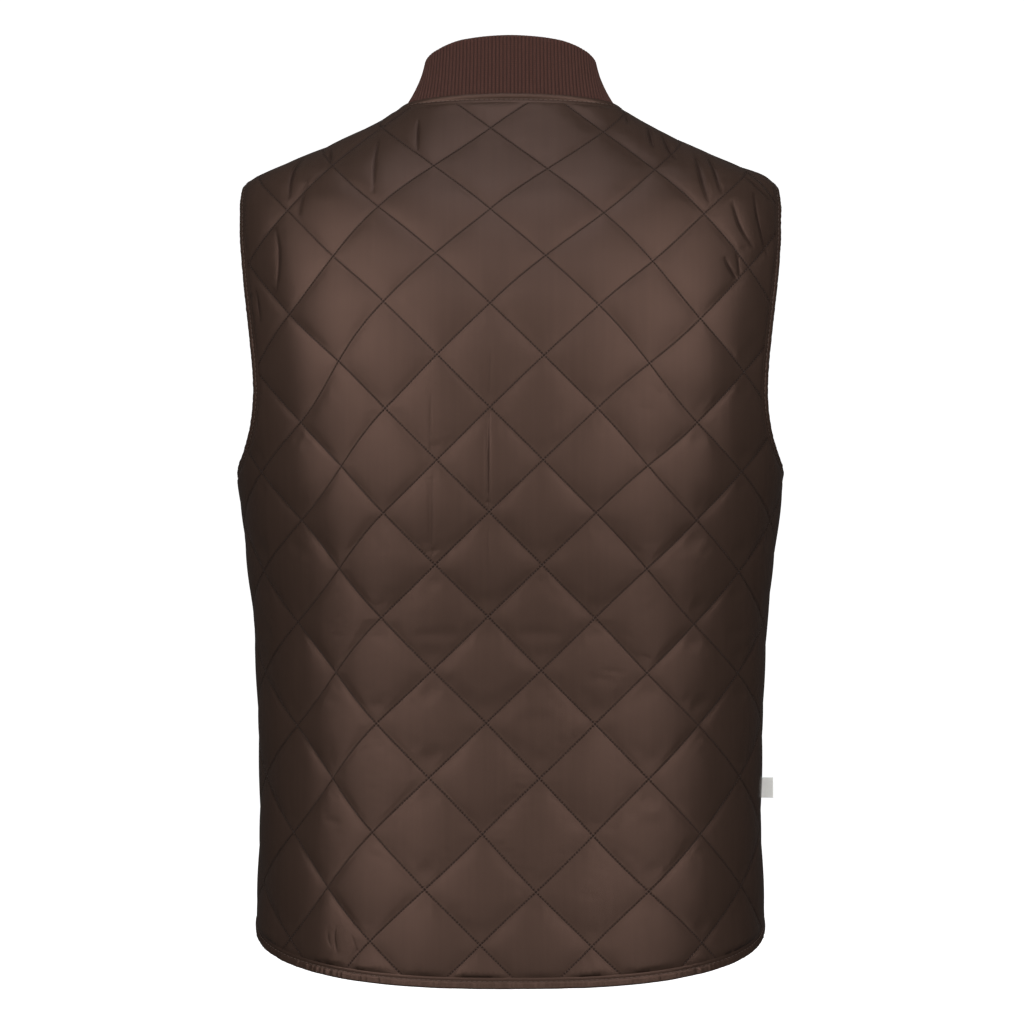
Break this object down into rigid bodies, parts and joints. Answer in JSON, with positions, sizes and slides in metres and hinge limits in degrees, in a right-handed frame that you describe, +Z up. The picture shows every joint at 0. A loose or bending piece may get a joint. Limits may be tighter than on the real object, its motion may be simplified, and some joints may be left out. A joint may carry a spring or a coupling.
{
  "type": "quilted gilet",
  "caption": "Sleeveless diamond-quilted gilet in dark brown with a ribbed stand collar, bound armholes and a curved hem, zipped at the front and filled out as worn.",
  "frame": {"origin": "middle of the neck opening, level with the top of the shoulder seams, where the wearer's neck and shoulders carry the garment", "axes": "+Z up, +X to the wearer's left, -Y the way the wearer faces, so the back panel faces +Y"},
  "size_m": [0.404, 0.2414, 0.6901],
  "materials": {
    "shell": "smooth dark brown nylon with a soft satin sheen",
    "rib": "matt ribbed knit, a redder brown",
    "zip_tape": "matt woven tape",
    "zip_teeth": "moulded brown plastic",
    "zip_metal": "dark bronze metal",
    "tab": "off-white woven tape"
  },
  "bodies": {
    "garment": {"back_panel": "shell", "front_left": "shell", "front_right": "shell", "armhole_band_left": "shell", "armhole_band_right": "shell", "hem_band": "shell", "neck_band": "shell", "collar_rib": "rib", "zip_tape_left": "zip_tape", "zip_tape_right": "zip_tape", "zip_chain": "zip_teeth", "zip_box": "zip_teeth", "zip_slider": "zip_metal", "side_tab": "tab"},
    "pull": {"zip_pull": "zip_metal"}
  },
  "joints": [
    {"name": "pull_hinge", "type": "hinge", "parent": "garment", "child": "pull", "pos_m": [0, -0.08888, -0.09398], "axis": [-1, 0, 0], "range_deg": [0, 130]}
  ]
}
